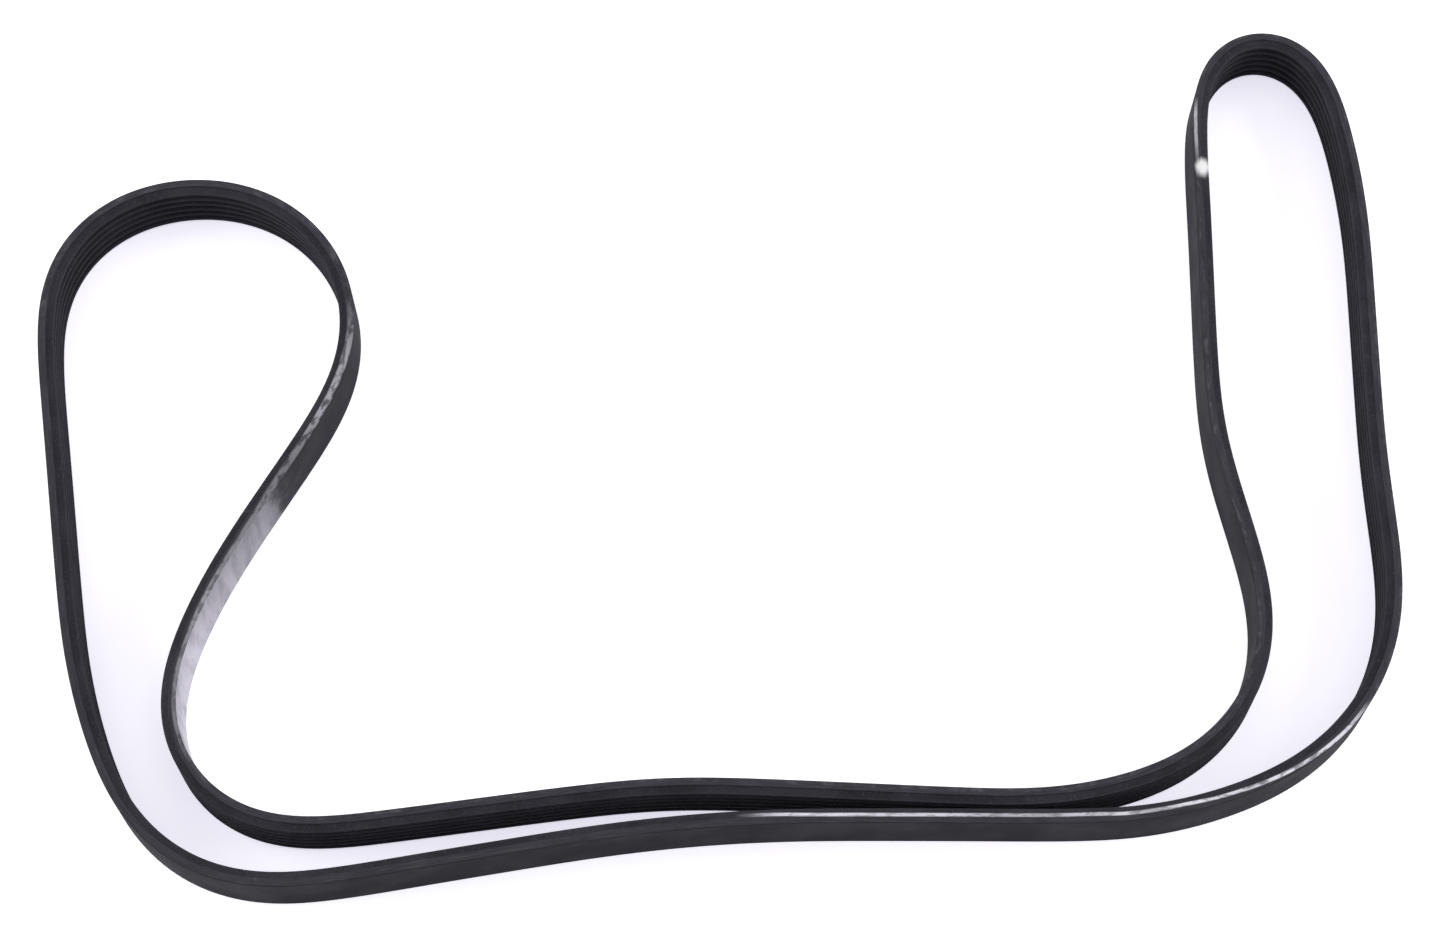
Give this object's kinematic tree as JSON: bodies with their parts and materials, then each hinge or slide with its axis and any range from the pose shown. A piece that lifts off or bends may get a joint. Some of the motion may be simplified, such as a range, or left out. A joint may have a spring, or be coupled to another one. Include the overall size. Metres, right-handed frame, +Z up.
{
  "type": "alternator belt",
  "caption": "Endless rubber drive belt with V-shaped ribs along its inside and a smooth back, standing on its cut edge in an open U with a wide loop at one end and a slim loop at the other.",
  "frame": {"origin": "middle of the footprint, at the height of the lower cut edge", "axes": "+X along the longest side of the laid loops, from the wide loop to the slim loop, +Y from the two long runs towards the loops' crowns, +Z up, across the width of the band"},
  "size_m": [0.42, 0.2817, 0.0214],
  "materials": {
    "belt_rubber": "matt black rubber with a faint satin sheen on the smooth back, and paler cut edges"
  },
  "bodies": {
    "root": {"ribbed_belt": "belt_rubber"}
  },
  "joints": []
}
